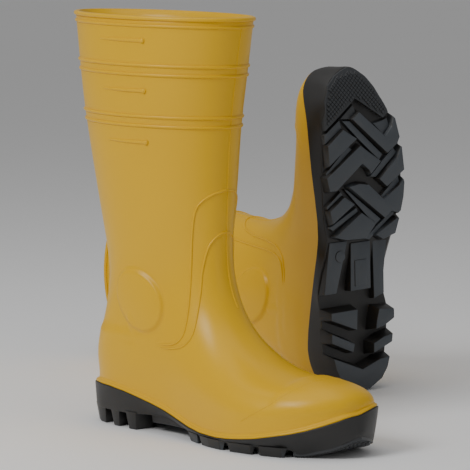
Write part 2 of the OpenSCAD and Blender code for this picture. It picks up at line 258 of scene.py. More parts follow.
def add_bmesh(bm, other):
    """Adds another bmesh to this one and frees it."""
    mesh = bpy.data.meshes.new("part")
    other.to_mesh(mesh)
    other.free()
    bm.from_mesh(mesh)
    bpy.data.meshes.remove(mesh)


def blend_in(value, start, end):
    """0 at start, 1 at end, with a smooth step between them."""
    t = max(0, min(1, (value - start) / (end - start)))
    return t * t * (3 - 2 * t)


def table(rows, x):
    """The value at x between the rows of a table of (x, value)."""
    if x <= rows[0][0]:
        return rows[0][1]
    for (x0, v0), (x1, v1) in zip(rows, rows[1:]):
        if x <= x1:
            return v0 + (v1 - v0) * (x - x0) / (x1 - x0)
    return rows[-1][1]


def smooth_path(points, steps):
    """Points on a smooth curve through the given ones."""
    ends = [points[0] * 2 - points[1], *points, points[-1] * 2 - points[-2]]
    path = []
    for a, b, c, d in zip(ends, ends[1:], ends[2:], ends[3:]):
        for i in range(steps):
            t = i / steps
            path.append(
                0.5 * (2 * b + (c - a) * t + (2 * a - 5 * b + 4 * c - d) * t * t
                       + (3 * b - a - 3 * c + d) * t ** 3))
    return path + [points[-1]]


# %% [markdown]
# ## Finishes
# The upper is glossy PVC: one strong yellow that turns a little deeper in broad clouds, with the
# faint orange peel of a polished mould. The sole is a satin black compound whose tread faces are
# greyer. The grain and the clouds are node groups, as several materials use them.

# %% Node groups


def group(name, inputs, outputs):
    """An empty shader node group with named sockets."""
    made = bpy.data.node_groups.new(name, "ShaderNodeTree")
    for label, kind, value in inputs:
        socket = made.interface.new_socket(label, in_out="INPUT", socket_type=kind)
        if value is not None:
            socket.default_value = value
    for label, kind in outputs:
        made.interface.new_socket(label, in_out="OUTPUT", socket_type=kind)
    return made, made.nodes.new("NodeGroupInput"), made.nodes.new("NodeGroupOutput")


def link(tree, *pairs):
    """Links pairs of sockets."""
    for start, end in pairs:
        tree.links.new(start, end)


clouds, g_in, g_out = group(
    "soft_clouds",
    [("Scale", "NodeSocketFloat", 14.0), ("First", "NodeSocketColor", None),
     ("Second", "NodeSocketColor", None)],
    [("Color", "NodeSocketColor")])
coords = clouds.nodes.new("ShaderNodeTexCoord")
noise = clouds.nodes.new("ShaderNodeTexNoise")
noise.inputs["Detail"].default_value = 3
mix = clouds.nodes.new("ShaderNodeMix")
mix.data_type = "RGBA"
link(clouds, (coords.outputs["Object"], noise.inputs["Vector"]),
     (g_in.outputs["Scale"], noise.inputs["Scale"]),
     (noise.outputs["Fac"], mix.inputs["Factor"]),
     (g_in.outputs["First"], mix.inputs["A"]), (g_in.outputs["Second"], mix.inputs["B"]),
     (mix.outputs["Result"], g_out.inputs["Color"]))

grain, g_in, g_out = group(
    "fine_grain",
    [("Scale", "NodeSocketFloat", 900.0), ("Low", "NodeSocketFloat", 0.3),
     ("High", "NodeSocketFloat", 0.4)],
    [("Height", "NodeSocketFloat"), ("Roughness", "NodeSocketFloat")])
coords = grain.nodes.new("ShaderNodeTexCoord")
noise = grain.nodes.new("ShaderNodeTexNoise")
noise.inputs["Detail"].default_value = 4
ramp = grain.nodes.new("ShaderNodeMapRange")
link(grain, (coords.outputs["Object"], noise.inputs["Vector"]),
     (g_in.outputs["Scale"], noise.inputs["Scale"]),
     (noise.outputs["Fac"], ramp.inputs["Value"]),
     (g_in.outputs["Low"], ramp.inputs["To Min"]), (g_in.outputs["High"], ramp.inputs["To Max"]),
     (noise.outputs["Fac"], g_out.inputs["Height"]),
     (ramp.outputs["Result"], g_out.inputs["Roughness"]))
print("node groups:", [g.name for g in bpy.data.node_groups])

# %% Material helper


def finish(name, first, second, cloud_scale, grain_scale, roughness, bump, **shader_values):
    """A material with clouds of two colours, a fine grain and a roughness that varies with it."""
    material = bpy.data.materials.new(name)
    material.use_nodes = True
    tree = material.node_tree
    shader = tree.nodes["Principled BSDF"]
    colour = tree.nodes.new("ShaderNodeGroup")
    colour.node_tree = clouds
    colour.inputs["Scale"].default_value = cloud_scale
    colour.inputs["First"].default_value = (*first, 1)
    colour.inputs["Second"].default_value = (*second, 1)
    rough = tree.nodes.new("ShaderNodeGroup")
    rough.node_tree = grain
    rough.inputs["Scale"].default_value = grain_scale
    rough.inputs["Low"].default_value = roughness[0]
    rough.inputs["High"].default_value = roughness[1]
    relief = tree.nodes.new("ShaderNodeBump")
    relief.inputs["Strength"].default_value = bump
    relief.inputs["Distance"].default_value = 0.2 * mm
    link(tree, (colour.outputs["Color"], shader.inputs["Base Color"]),
         (rough.outputs["Roughness"], shader.inputs["Roughness"]),
         (rough.outputs["Height"], relief.inputs["Height"]),
         (relief.outputs["Normal"], shader.inputs["Normal"]))
    for socket, value in shader_values.items():
        shader.inputs[socket.replace("_", " ")].default_value = value
    return material, tree, colour, rough


# %% The materials
pvc, *_ = finish("pvc_yellow", (0.78, 0.45, 0.0), (0.72, 0.40, 0.0), 9, 700,
                 (0.30, 0.38), 0.05, Specular_IOR_Level=0.35)
sole, sole_tree, sole_colour, _ = finish(
    "sole_black", (0.011, 0.0105, 0.010), (0.020, 0.019, 0.018), 60, 1500, (0.34, 0.52), 0.2)
steel, *_ = finish("pressed_steel", (0.50, 0.51, 0.53), (0.62, 0.63, 0.65), 40, 1200,
                   (0.25, 0.4), 0.1, Metallic=1.0)
edge_rubber, *_ = finish("edge_rubber", (0.04, 0.04, 0.04), (0.06, 0.06, 0.06), 40, 900,
                         (0.5, 0.7), 0.2)
fibre, *_ = finish("fibre_board", (0.42, 0.30, 0.17), (0.50, 0.37, 0.22), 90, 1500,
                   (0.8, 0.95), 0.6)
foam, *_ = finish("pad_foam", (0.62, 0.56, 0.38), (0.70, 0.64, 0.46), 90, 1200, (0.8, 0.9), 0.5)
filler, *_ = finish("heel_filler", (0.45, 0.34, 0.20), (0.52, 0.41, 0.26), 70, 800,
                    (0.7, 0.9), 0.5)
felt, *_ = finish("footbed_felt", (0.06, 0.065, 0.075), (0.10, 0.105, 0.12), 120, 2200,
                  (0.85, 1.0), 0.9, Sheen_Weight=0.3)
knit, knit_tree, _, knit_grain = finish(
    "lining_knit", (0.62, 0.58, 0.48), (0.70, 0.66, 0.56), 60, 1800, (0.85, 1.0), 0.4)
ground, *_ = finish("studio_floor", (0.93, 0.93, 0.93), (0.95, 0.95, 0.95), 1, 50, (0.7, 0.8), 0)
floor_mesh.materials.append(ground)
print("materials:", len(bpy.data.materials))

# %% [markdown]
# ## The skin of the boot
# Everything on the upper lies on one smooth surface. The outer skin is cut free from the packed
# upper, smoothed twice, and its ankle bulges are relaxed away, since sharper ones come later. A ray
# caster on this skin then answers the question that comes up for every bead and edge: where is the
# surface in this direction?

# %% Cut the outer skin free
skin = merged_copy("right_upper")
rim = [f for f in skin.faces if f.normal.z > 0.9 and f.calc_center_median().z > leg_top - 2 * mm]
bmesh.ops.delete(skin, geom=rim, context="FACES")
toe_tip = max(skin.verts, key=lambda v: v.co.x)
outside = {toe_tip}
edge_of_known = [toe_tip]
while edge_of_known:
    vert = edge_of_known.pop()
    for e in vert.link_edges:
        other = e.other_vert(vert)
        if other not in outside:
            outside.add(other)
            edge_of_known.append(other)
bmesh.ops.delete(skin, geom=[v for v in skin.verts if v not in outside], context="VERTS")
print("skin points:", len(skin.verts))

# %% Relax the bulges and smooth the skin
pads = [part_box("right_ankle_pad_outer"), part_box("right_ankle_pad_inner")]
pad_centres = [(low + high) / 2 for low, high in pads]


def relax(bm, verts, times):
    """Smooths some points of a bmesh a number of times."""
    for _ in range(times):
        bmesh.ops.smooth_vert(
            bm, verts=verts, factor=0.5, use_axis_x=True, use_axis_y=True, use_axis_z=True)


near_pads = [v for v in skin.verts if any((v.co - c).length < 34 * mm for c in pad_centres)]
relax(skin, near_pads, 12)
skin = baked(skin, smoothed(2))
print("smooth skin points:", len(skin.verts))

# %% Ray casting round the foot
toe_x, heel_x = boot(262, 0, 0).x, boot(40, 0, 0).x
toe_y = 2 * mm
skin_tree = BVHTree.FromBMesh(skin)


def spine(x):
    """The point of the foot's middle line, from heel to toe, that is nearest to x."""
    along = max(heel_x, min(toe_x, x))
    return Vector((along, toe_y * blend_in(along, 0.15, toe_x), 0))


def reach(origin, direction, height):
    """How far the skin is from a point of the middle line at some height, or None."""
    start = Vector((origin.x, origin.y, height))
    hit = skin_tree.ray_cast(start, direction)
    return None if hit[0] is None else hit[3]


def widest(origin, direction, height):
    """The furthest that the skin reaches at this height and for 36 mm above it."""
    found = [reach(origin, direction, height + step * 4 * mm) for step in range(10)]
    return max([r for r in found if r is not None], default=None)


# %% [markdown]
# ## The line where yellow meets black
# The black sole climbs from a thin edge under the ball of the foot to the high heel, and round the
# toe. The upper comes down to it nearly upright, so the skin below its widest line is pushed out to
# that width. The same sweep round the foot then places the lip and the whole sole.

# %% Border height and the sweep
border = [
    (-10, 34), (20, 36), (40, 35.5), (60, 33), (77, 30), (95, 26.5), (113, 22.5), (132, 17.5),
    (150, 13), (168, 10.5), (190, 10), (207, 11), (221, 12.5), (237, 14.5), (252, 17.5),
    (267, 20.5), (279, 24), (290, 28.5), (298, 32.5), (305, 37), (312, 41), (322, 44)]


def border_height(place):
    """Height of the black edge at a place: it keeps rising round the inner corner of the toe."""
    x, y = (place.x - heel_back) / mm, place.y / mm
    return table(border, x + 0.48 * max(0, y) * blend_in(x, 250, 295)) * mm


def sweep(straight=56, turn=40):
    """(origin, direction) all round the foot: outer side, toe, inner side, heel."""
    steps = []
    for i in range(straight):
        x = heel_x + (toe_x - heel_x) * i / straight
        steps.append((spine(x), Vector((0, -1, 0))))
    for i in range(turn):
        a = -math.pi / 2 + math.pi * i / turn
        steps.append((spine(toe_x), Vector((math.cos(a), math.sin(a), 0))))
    for i in range(straight):
        x = toe_x + (heel_x - toe_x) * i / straight
        steps.append((spine(x), Vector((0, 1, 0))))
    for i in range(turn):
        a = math.pi / 2 + math.pi * i / turn
        steps.append((spine(heel_x), Vector((math.cos(a), math.sin(a), 0))))
    return steps


def wall_point(origin, direction):
    """The place on the border: as wide as the boot is at or above it."""
    place = origin
    for _ in range(3):
        height = border_height(place)
        place = origin + direction * widest(origin, direction, height)
    return place + up * height


walls = [(wall_point(o, d), d) for o, d in sweep()]
print("border points:", len(walls))

# %% Push the skin out to the wall
moves = []
for v in skin.verts:
    if v.co.z > 75 * mm or v.normal.z < -0.93:
        continue
    origin = spine(v.co.x)
    outward = Vector((v.co.x - origin.x, v.co.y - origin.y, 0))
    if outward.length < 5 * mm or v.co.z < border_height(v.co) - 4 * mm:
        continue
    now = outward.length
    wide = widest(origin, outward.normalized(), v.co.z)
    if wide is not None and wide > now:
        moves.append((v, outward.normalized() * (wide - now)))
for v, move in moves:
    v.co += move
print("points pushed out:", len(moves))

# %% [markdown]
# ## Ledge and toe cap
# The foot part of the mould stands a little proud of the leg at the heel, which leaves a soft
# ledge. At the toe the steel cap swells the skin, and the vamp just behind its edge dips.

# %% Heel ledge and cap swelling
skin.normal_update()
for v in skin.verts:
    x, z = (v.co.x - heel_back) / mm, v.co.z / mm
    at_heel = 1 - blend_in(x, 60, 115)
    ledge = blend_in(z, 89, 85) * blend_in(z, 42, 60) * at_heel
    cap_edge = 248 + 0.16 * (z - 40)
    swell = blend_in(x, cap_edge - 2, cap_edge + 4) * blend_in(z, 34, 50)
    dip = blend_in(x, 150, 215) * (1 - blend_in(x, cap_edge - 6, cap_edge + 2))
    dip *= blend_in(z, 50, 66)
    v.co += v.normal * (1.3 * ledge + 1.1 * swell - 1.3 * dip) * mm
print("ledge and cap shaped")

# %% [markdown]
# ## Ankle bulges
# An egg-shaped pad sits over each ankle bone, a little higher on the inner side. The faces there
# are divided again and relaxed. The skin is kept clear of the foam and the lining behind it, and
# then raised with a steep edge and a slightly domed top.

# %% Raise the ankle eggs
egg_centre = boot(79, 0, 115)
egg_long, egg_short, egg_turn = 31 * mm, 24.5 * mm, math.radians(-42)
egg_height, egg_dome = 2.8 * mm, 1.5 * mm
inner_egg_raised = 13 * mm
cover = 0.8 * mm
beyond = 0.1


def egg_distance(place):
    """1 on the rim of the egg, less inside it, seen from the side of the boot."""
    raised = inner_egg_raised if place.y > 0 else 0
    dx, dz = place.x - egg_centre.x, place.z - egg_centre.z - raised
    along = dx * math.cos(egg_turn) + dz * math.sin(egg_turn)
    across = dz * math.cos(egg_turn) - dx * math.sin(egg_turn)
    return math.hypot(along / egg_long, across / egg_short)


near = [f for f in skin.faces if egg_distance(f.calc_center_median()) < 1.7]
near_edges = list(dict.fromkeys(e for f in near for e in f.edges))
bmesh.ops.subdivide_edges(skin, edges=near_edges, cuts=2, use_grid_fill=True)
relaxed = [v for v in skin.verts if egg_distance(v.co) < 1.4]
relax(skin, relaxed, 6)
inner_parts = bmesh.new()
for node in ("right_ankle_pad_outer", "right_ankle_pad_inner", "right_lining"):
    inner_parts.from_mesh(frame["nodes"][node].data)
inner_tree = BVHTree.FromBMesh(inner_parts)
inner_parts.free()
for v in skin.verts:
    if not 60 * mm < v.co.z < 175 * mm:
        continue
    middle = Vector((egg_centre.x, 0, v.co.z))
    outward = (v.co - middle).normalized()
    hit = inner_tree.ray_cast(middle + outward * beyond, -outward)
    if hit[0] is not None:
        gap = (v.co - middle).length - (hit[0] - middle).length
        v.co += outward * max(0, cover - gap)
skin.normal_update()
for v in relaxed:
    d = egg_distance(v.co)
    rise = blend_in(d, 1.05, 0.90) * egg_height + max(0, 1 - d * d) * egg_dome
    v.co += v.normal * rise
print("points in the eggs:", len(relaxed))

# %% [markdown]
# ## Raised lines
# Rings round the leg, the double line that runs up the shin like the edge of a tongue, the mould's
# parting line and three short bars on the outer side are all beads on the skin. Each is a path of
# a few given places, dropped onto the skin by a ray from inside the leg.

# %% Drop paths onto the skin
skin.normal_update()
skin_tree = BVHTree.FromBMesh(skin)
leg_axis_x = boot(82, 0, 0).x


def on_skin(start, direction, sink):
    """The skin's surface from start in a direction, sunk in by a depth."""
    place, normal, _, _ = skin_tree.ray_cast(start, direction)
    return place - normal * sink


def from_leg_axis(angle, height, sink):
    """The skin's surface at an angle round the leg and a height."""
    start = Vector((leg_axis_x, 0, height))
    return on_skin(start, Vector((math.cos(angle), math.sin(angle), 0)), sink)


def ring(height, sink, count=180):
    """A closed path round the leg at one height."""
    return [from_leg_axis(2 * math.pi * i / count, height, sink) for i in range(count)]


def draped(points, sink, steps=10):
    """A path through (angle round the leg in degrees, height in mm), dropped onto the skin."""
    path = smooth_path([Vector((a, z, 0)) for a, z in points], steps)
    return [from_leg_axis(math.radians(p.x), p.y * mm, sink) for p in path]


# %% Lay the beads
beads = bmesh.new()
for height, radius in ((359.3, 2.0), (353, 1.5), (319, 1.6), (311, 1.6), (275, 1.6), (267, 1.6)):
    add_tube(beads, ring(height * mm, 0.1 * mm), radius * mm, closed=True)

shin_outer = [(-69, 78.5), (-55, 79), (-44, 80.5), (-38, 85), (-34, 94), (-30, 116), (-27, 147),
              (-26, 181), (-24, 196), (-19, 204), (-10, 210), (0, 213)]
shin_inner = [(-69, 76), (-52, 76), (-41, 77.5), (-35, 81), (-30, 89), (-26, 103), (-21.5, 125),
              (-18.5, 145), (-14, 163), (-9, 171), (-3, 175.5), (4, 177)]
for line in (shin_outer, shin_inner):
    side_one = draped(line, 0.15 * mm)
    other = [(-a + 4, z) for a, z in reversed(line)]
    side_two = draped(other, 0.15 * mm)
    path = side_one + side_two[1:]
    ends = [min(i, len(path) - 1 - i) / 14 for i in range(len(path))]
    add_tube(beads, path, [1.15 * mm * max(0.15, min(1, end)) for end in ends])

parting = [(3, z) for z in range(352, 105, -8)]
add_tube(beads, draped(parting, 0.25 * mm, 3), 0.9 * mm)

cap_line = [(-82, 221), (-73, 235), (-67, 243.5), (-60, 250), (-44, 260), (-22, 265), (0, 267),
            (24, 265), (46, 259), (62, 248), (74, 234)]
cap_path = []
for p in smooth_path([Vector((a, x, 0)) for a, x in cap_line], 6):
    a = math.radians(p.x)
    cap_path.append(on_skin(boot(p.y, 0, 20), Vector((0, math.sin(a), math.cos(a))), 0.3 * mm))
add_tube(beads, cap_path, 0.6 * mm)

for height in (340, 297, 252.5):
    bar = draped([(a, height) for a in (-117, -106, -95, -84, -74, -67)], 0.4 * mm, 6)
    swell = [(1.1 + 0.7 * min(1, i / 14)) * mm for i in range(len(bar))]
    swell[-4:] = [2.3 * mm, 2.7 * mm, 2.5 * mm, 1.5 * mm]
    add_tube(beads, bar, swell)
print("bead faces:", len(beads.faces))

# %% [markdown]
# ## The lip on the sole
# Where the yellow upper meets the black sole it ends in a thin flange. A closed profile is carried
# all round the foot: each corner of the profile is a ring of points, and neighbouring rings are
# bridged.

# %% Carry the lip's profile round the foot


def bridge_rows(bm, rows, closed):
    """Makes a ring of edges from each row of points and bridges neighbouring rings."""
    rings = []
    for row in rows:
        verts = [bm.verts.new(c) for c in row]
        rings.append([bm.edges.new(pair) for pair in zip(verts, verts[1:] + verts[:1])])
    nexts = rings[1:] + (rings[:1] if closed else [])
    for one, two in zip(rings, nexts):
        bmesh.ops.bridge_loops(bm, edges=one + two)


lip_shape = [(-2, 4.5), (0.1, 4.2), (0.5, 3.2), (1.3, 2.5), (2.4, 2.1), (3.1, 1.3), (3.0, 0.3),
             (2.0, -0.5), (-2, -0.5)]
lip = bmesh.new()
lip_rows = [[p + d * out * mm + up * high * mm for p, d in walls] for out, high in lip_shape]
bridge_rows(lip, lip_rows, closed=True)
bmesh.ops.recalc_face_normals(lip, faces=lip.faces)
add_bmesh(beads, lip)

# %% [markdown]
# ## A leg that rises to the back
# The rings and the rim are a little higher at the calf than at the shin, so everything on the leg
# is sheared upwards towards the back, more and more from the ankle to the lower rings.

# %% Shear and close the upper


def raise_calf(bm):
    """Lifts the back of the leg."""
    shin_x = boot(162, 0, 0).x
    rise_per_length = 0.027
    for v in bm.verts:
        share = blend_in(v.co.z, 120 * mm, 260 * mm)
        v.co.z += rise_per_length * (shin_x - v.co.x) * share


upper_thickness = 3 * mm
upper = baked(
    skin,
    ("SOLIDIFY", {"thickness": upper_thickness, "offset": -1.0, "use_even_offset": False}))
add_bmesh(upper, beads)
raise_calf(upper)
right_upper = piece("right_boot_upper", upper, pvc, "pvc_yellow", "right_boot")
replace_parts(right_upper, "right_upper")

# %% [markdown]
# ## The sole
# The sole's body is lofted from the border down to the ground outline: its wall leans in, more on
# the inner side and at the toe. Its underside steps up under the arch and at the heel.

# %% Outline on the ground and underside heights
ground_outline = [
    (0, -4), (4, -17), (12, -28), (24, -35), (42, -38), (62, -40), (78, -40), (95, -36),
    (115, -34), (135, -38), (150, -43), (165, -48), (180, -52), (195, -54), (210, -54), (225, -52),
    (240, -49), (255, -44), (268, -36), (280, -28), (290, -23), (300, -16), (307, -9), (309, 0),
    (307, 9), (303, 18), (295, 29), (280, 36), (262, 38), (240, 38.5), (200, 38.5), (165, 37),
    (147, 34), (125, 37), (97, 40), (80, 38), (60, 37), (42, 36), (24, 31), (11, 22), (3, 10)]
underside = [
    (-10, 14), (74, 14), (84, 15), (100, 15), (113, 13.5), (130, 9.5), (142, 8), (150, 7),
    (262, 7), (276, 8), (287, 11), (296, 14), (303, 17.5), (309, 22), (313, 27), (322, 37)]
spring = [(262, 0), (276, 1), (287, 4), (296, 7), (303, 10.5), (309, 15), (313, 20), (322, 30)]


# %% A fence round the ground outline


def prism_tree(outline, height):
    """A ray-casting tree of an outline raised by a height."""
    bm = bmesh.new()
    face = bm.faces.new([bm.verts.new(p) for p in outline])
    risen = bmesh.ops.extrude_face_region(bm, geom=[face])["geom"]
    top = [g for g in risen if isinstance(g, bmesh.types.BMVert)]
    bmesh.ops.translate(bm, verts=top, vec=(0, 0, height))
    tree = BVHTree.FromBMesh(bm)
    bm.free()
    return tree


below_ground = 100 * mm
outline_path = smooth_path([boot(x, y, 0) for x, y in ground_outline + ground_outline[:1]], 4)[:-1]
fence_tree = prism_tree([p - up * below_ground for p in outline_path], 2 * below_ground)


def ground_point(origin, direction, out):
    """The ground outline in this direction, some way further out."""
    hit = fence_tree.ray_cast(origin, direction)
    return hit[0] + direction * out


def under_height(x):
    """Height of the sole's body above the ground, between the lugs."""
    return table(underside, (x - heel_back) / mm) * mm


def spring_height(x):
    """How far the toe curls up from the ground."""
    return table(spring, (x - heel_back) / mm) * mm


# %% Loft the sole's body


def sole_profile(wall, direction):
    """Corners from inside the upper, over the top edge, down the leaning wall to the underside."""
    origin = spine(wall.x)
    foot = ground_point(Vector((origin.x, origin.y, 0)), direction, 0.6 * mm)
    toe_share = blend_in(foot.x, boot(262, 0, 0).x, boot(272, 0, 0).x)
    base = under_height(foot.x) * (1 - toe_share)
    base += (spring_height(foot.x) + 1 * mm) * toe_share
    rounding = (0.8 + 3.4 * toe_share) * mm
    corners = [wall - direction * 3 * mm, wall + direction * 3.4 * mm]
    top = wall + direction * welt - up * 0.6 * mm
    steps = 6
    for i in range(steps + 1):
        t = i / steps
        place = top.lerp(foot, t ** 1.25)
        place.z = top.z + (base + rounding - top.z) * t
        corners.append(place)
    for turn in (30, 60, 90):
        a = math.radians(turn)
        inwards = direction * rounding * (1 - math.cos(a))
        corners.append(Vector((foot.x, foot.y, base + rounding * (1 - math.sin(a)))) - inwards)
    return corners


def capped(bm, rim_points, height_of, flip):
    """Fills a ring with a face, cuts it into cells and sets each inner point's height."""
    sheet = bmesh.new()
    sheet.faces.new([sheet.verts.new(p) for p in rim_points])
    for x in range(-32, 320, 8):
        slice_at(sheet, boot(x, 0, 0), (1, 0, 0))
    for y in range(-48, 56, 8):
        slice_at(sheet, (0, y * mm, 0), (0, 1, 0))
    for v in sheet.verts:
        if not v.is_boundary:
            v.co.z = height_of(v.co)
    sheet.normal_update()
    if (sum(f.normal.z for f in sheet.faces) > 0) == flip:
        bmesh.ops.reverse_faces(sheet, faces=sheet.faces)
    add_bmesh(bm, sheet)


def under_skin(place):
    """Height of the upper's underside above a point."""
    hit = skin_floor.ray_cast(Vector((place.x, place.y, -below_ground)), up)
    return place.z if hit[0] is None else hit[0].z


upper_shape = bmesh.new()
upper_shape.from_mesh(right_upper.data)
skin_floor = BVHTree.FromBMesh(upper_shape)
upper_shape.free()

corner_sets = [sole_profile(wall, direction) for wall, direction in walls]
outsole = bmesh.new()
bridge_rows(outsole, zip(*corner_sets), closed=False)
capped(outsole, [c[-1] for c in corner_sets], lambda p: under_height(p.x), flip=True)
capped(outsole, [c[0] for c in corner_sets], under_skin, flip=False)
bmesh.ops.remove_doubles(outsole, verts=outsole.verts, dist=0.02 * mm)
bmesh.ops.recalc_face_normals(outsole, faces=outsole.faces)
print("sole body faces:", len(outsole.faces))

# %% [markdown]
# ## Lugs, panels and heel blocks
# Each lug is drawn as the outline of the face that meets the ground. The outline is grown outwards
# for its foot, so that its sides slope, and its edges get a small bevel. The broad lugs form
# nested arrows, with low ribs in the grooves between them.

# %% A lug from its outline


def grown(outline, by):
    """The outline moved outwards, with its sharp corners held back."""
    points = [Vector(p) for p in outline]
    nexts = points[1:] + points[:1]
    turn = math.copysign(1, sum(a.x * b.y - a.y * b.x for a, b in zip(points, nexts)))
    result = []
    for before, here, after in zip(points[-1:] + points[:-1], points, nexts):
        first = (here - before).normalized()
        second = (after - here).normalized()
        edge_out = Vector((first.y, -first.x)) * turn
        corner_out = (edge_out + Vector((second.y, -second.x)) * turn).normalized()
        result.append(here + corner_out * by / max(0.6, corner_out.dot(edge_out)))
    return result


def add_lug(bm, outline, top, foot, slope, edge=0.6):
    """Adds a block: outline on the face that shows, slope wider at its foot. Heights in mm."""
    block = bmesh.new()
    shown = [block.verts.new(boot(x, y, top)) for x, y in outline]
    hidden = [block.verts.new(boot(x, y, foot)) for x, y in grown(outline, slope)]
    block.faces.new(shown)
    block.faces.new(hidden)
    for wall in zip(shown, shown[1:] + shown[:1], hidden[1:] + hidden[:1], hidden):
        block.faces.new(wall)
    bmesh.ops.recalc_face_normals(block, faces=block.faces)
    sharp = [e for e in block.edges if min(v.co.z for v in e.verts) < (foot - 0.01) * mm]
    bmesh.ops.bevel(
        block, geom=sharp, offset=edge * mm, offset_type="OFFSET", segments=2, profile=0.5,
        affect="EDGES", material=-1)
    add_bmesh(bm, block)


# %% Forefoot lugs
tread = bmesh.new()
broad_lugs = [
    [(262, 7), (268, -1), (242, -32), (251, -40), (260, -42), (258, -44), (240, -49), (234, -46),
     (226, -34)],
    [(239, 36), (253, 18), (243, 2), (238, 10), (220, 35)],
    [(209, 38), (236, -2), (219, -26), (208, -14), (212, -12), (219, -4), (196, 27), (196, 35)],
    [(202, -24), (220, -46), (231, -50), (230, -51.5), (208, -54), (204, -48), (194, -33)],
    [(198, 12), (200, 0), (198, -11), (182, -29), (193, -47), (199, -53), (196, -54), (182, -52.5),
     (169, -49), (167, -46), (170, -38), (164, -30)],
    [(177, 35), (189, 18), (181, 6), (165, 32)],
    [(152, 29), (172, -2), (160, -19), (147, -7), (148, 17)],
    [(149, -19), (162, -44), (162, -47), (148, -42), (144, -27)],
]
low_ribs = [
    [(249, 38), (262, 20), (254, 18), (241, 37)],
    [(263, 19), (262, 8), (268, 1), (275, 4)],
    [(213, 37), (236, 11), (233, 6), (210, 36)],
    [(205, -15), (230, -43), (225, -47), (204, -22)],
    [(196, 16), (194, 11), (163, -27), (158, -20)],
    [(161, 34), (177, 2), (173, 0), (158, 30)],
    [(261, 17), (260, 8), (225, -30), (220, -26), (243, -1)],
    [(255, -20), (257, -30), (259, -36), (252, -39), (244, -31)],
    [(185, -28), (203, -48), (197, -50), (181, -32)],
    [(146, -7), (172, -44), (169, -46), (145, -13)],
    [(181, 37), (194, 20), (191, 18), (179, 36)],
]
for outline in broad_lugs:
    add_lug(tread, outline, top=0, foot=8.5, slope=2.2)
for outline in low_ribs:
    add_lug(tread, outline, top=3.4, foot=8.5, slope=1.2, edge=0.4)

# %% Waist panels and heel blocks
waist_panels = [
    ([(146, 32), (146, 11), (97, 25), (97, 39)], 6.5),
    ([(143, 7), (143, -16), (97, -16), (97, 8)], 6.5),
    ([(143, -20), (141, -37), (112, -33), (90, -33), (86, -21)], 8),
]
for outline, top in waist_panels:
    add_lug(tread, outline, top, foot=16, slope=0.8, edge=0.5)
blank_label = [(126, 3), (126, -11), (101, -11), (101, 3)]
dial_angles = [math.pi * i / 8 for i in range(16)]
blank_dial = [(132 + 5.5 * math.cos(a), 20 + 5.5 * math.sin(a)) for a in dial_angles]
for outline in (blank_label, blank_dial):
    add_lug(tread, outline, top=5.6, foot=8, slope=0.3, edge=0.3)
heel_blocks = [
    [(80, 36), (80, 5), (60, 6), (73, 36)],
    [(60, 36), (47, 9), (39, 11), (51, 36)],
    [(77, -21), (75, -39), (66, -39), (60, -27), (58, -17), (66, -18)],
    [(44, -14), (49, -26), (51, -37), (43, -36), (35, -14)],
    [(36, 34), (21, 0), (28, -21), (29, -33), (19, -30), (9, -23), (1, -8), (1, 3), (7, 15),
     (17, 27), (25, 31)],
]
for outline in heel_blocks:
    add_lug(tread, outline, top=0, foot=16, slope=2.8, edge=0.8)
print("tread faces:", len(tread.faces))

# %% [markdown]
# ## Toe pad
# In front of the arrows the sole is a solid pad that curls up with the toe, covered in small
# four-sided points. A fine grid is cut to the pad's outline, and each of its faces is inset and
# drawn out into a blunt point.

# %% Pad and points
pad_outline = [
    (254, 38), (281, 1), (260, -30), (265, -36), (268, -35), (280, -28), (290, -23), (300, -16),
    (307, -8), (309, 0), (307, 8), (303, 18), (295, 29), (280, 36), (262, 38)]
pad_corners = [boot(x, y, 0) for x, y in pad_outline]
pad = bmesh.new()
pad_face = pad.faces.new([pad.verts.new(p) for p in pad_corners])
pad_face.normal_update()
if pad_face.normal.z > 0:
    pad_face.normal_flip()
for x in range(258, 310, 4):
    slice_at(pad, boot(x, 0, 0), (1, 0, 0))
raised = bmesh.ops.extrude_face_region(pad, geom=pad.faces[:])["geom"]
raised = {g for g in raised if isinstance(g, bmesh.types.BMVert)}
for v in pad.verts:
    v.co.z = spring_height(v.co.x) + (9 * mm if v in raised else 1.2 * mm)
bmesh.ops.recalc_face_normals(pad, faces=pad.faces)
add_bmesh(tread, pad)

fence_height = 10 * mm
pad_fence = prism_tree(pad_corners, fence_height)


def in_pad(place):
    """Whether a point of the ground is inside the pad, well clear of its edge."""
    start = Vector((place.x, place.y, -fence_height))
    if pad_fence.ray_cast(start, up)[0] is None:
        return False
    edge_distance = pad_fence.find_nearest(Vector((place.x, place.y, fence_height / 2)))[3]
    return edge_distance > 0.8 * mm


points = bmesh.new()
pitch = 3.1 * mm
count = 40
bmesh.ops.create_grid(points, x_segments=count, y_segments=count, size=pitch * count / 2)
grid_turn = Matrix.Rotation(math.radians(40), 3, "Z")
bmesh.ops.rotate(points, verts=points.verts, cent=(0, 0, 0), matrix=grid_turn)
bmesh.ops.translate(points, verts=points.verts, vec=boot(282, 2, 0))
outer_faces = [f for f in points.faces if not all(in_pad(v.co) for v in f.verts)]
bmesh.ops.delete(points, geom=outer_faces, context="FACES")
bmesh.ops.split_edges(points, edges=points.edges)
feet = bmesh.ops.inset_individual(points, faces=points.faces[:], thickness=0.35 * mm)
foot_faces = set(feet["faces"])
centres = [f for f in points.faces if f not in foot_faces]
for face in centres:
    for v in face.verts:
        v.co.z -= 1.1 * mm
for v in points.verts:
    v.co.z += spring_height(v.co.x) + 1.25 * mm
print("points on the pad:", len(centres))
bmesh.ops.inset_individual(points, faces=centres, thickness=0.5 * mm)
bmesh.ops.recalc_face_normals(points, faces=points.faces)
add_bmesh(tread, points)

